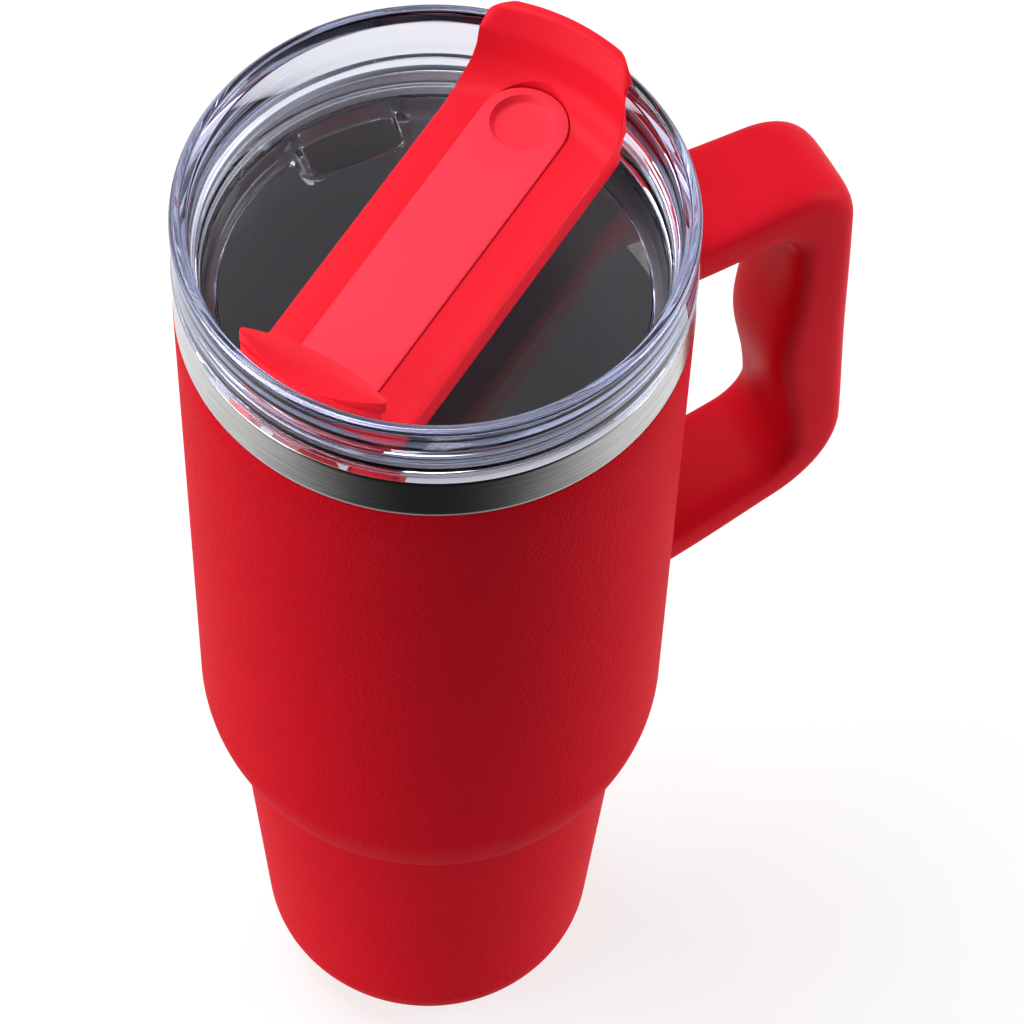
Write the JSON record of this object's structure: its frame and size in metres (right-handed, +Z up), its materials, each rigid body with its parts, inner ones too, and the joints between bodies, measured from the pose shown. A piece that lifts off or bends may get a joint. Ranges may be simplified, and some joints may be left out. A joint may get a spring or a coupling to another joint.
{
  "type": "insulated travel mug",
  "caption": "Tall double-wall steel travel mug that narrows to a slim base, with a side handle and a clear push-in lid carrying a rotating cover bar and a straw slider.",
  "frame": {"origin": "on the mug's axis, in the plane of the rubber pad that it rests on", "axes": "+Z up along the mug's axis, +X out through the middle of the handle"},
  "size_m": [0.1484, 0.1068, 0.2692],
  "materials": {
    "steel": "fine circumferential brushing",
    "liner_steel": "satin, electropolished",
    "red_powder_coat": "fine-grained satin powder coat",
    "copper": "foil",
    "base_rubber": "matte",
    "glass_solder": "fired",
    "getter_metal": "sintered",
    "handle_red": "soft satin",
    "core_plastic": "moulded",
    "clear_plastic": "clear moulded plastic with a faint blue-grey tint",
    "clear_silicone": "translucent",
    "bar_red": "moulded, satin",
    "slider_red": "moulded, satin",
    "seal_red": "silicone"
  },
  "bodies": {
    "cup": {"outer_shell": "steel", "powder_coat": "red_powder_coat", "inner_liner": "liner_steel", "copper_foil": "copper", "outer_base": "steel", "base_pad": "base_rubber", "vacuum_seal": "glass_solder", "getter": "getter_metal", "handle_cover": "handle_red", "handle_core": "core_plastic", "handle_bracket_upper": "steel", "handle_bracket_lower": "steel", "handle_screw_upper": "steel", "handle_screw_lower": "steel", "screw_cap_upper": "handle_red", "screw_cap_lower": "handle_red"},
    "lid": {"lid_body": "clear_plastic", "lid_gasket": "clear_silicone"},
    "bar": {"cover_bar": "bar_red", "sip_seal": "seal_red", "pivot_cap": "bar_red", "pivot_screw": "steel", "pivot_ring": "clear_silicone"},
    "slider": {"straw_slider": "slider_red", "slider_seal": "seal_red"}
  },
  "joints": [
    {"name": "lid_lift", "type": "slide", "parent": "cup", "child": "lid", "axis": [0, 0, 1], "range_m": [0, 0.06]},
    {"name": "bar_turn", "type": "hinge", "parent": "lid", "child": "bar", "pos_m": [0, 0, 0.245], "axis": [0, 0, 1], "range_deg": [-33.5, 56]},
    {"name": "slider_slide", "type": "slide", "parent": "bar", "child": "slider", "axis": [-0.8581, -0.5135, 0], "range_m": [0, 0.01]}
  ]
}
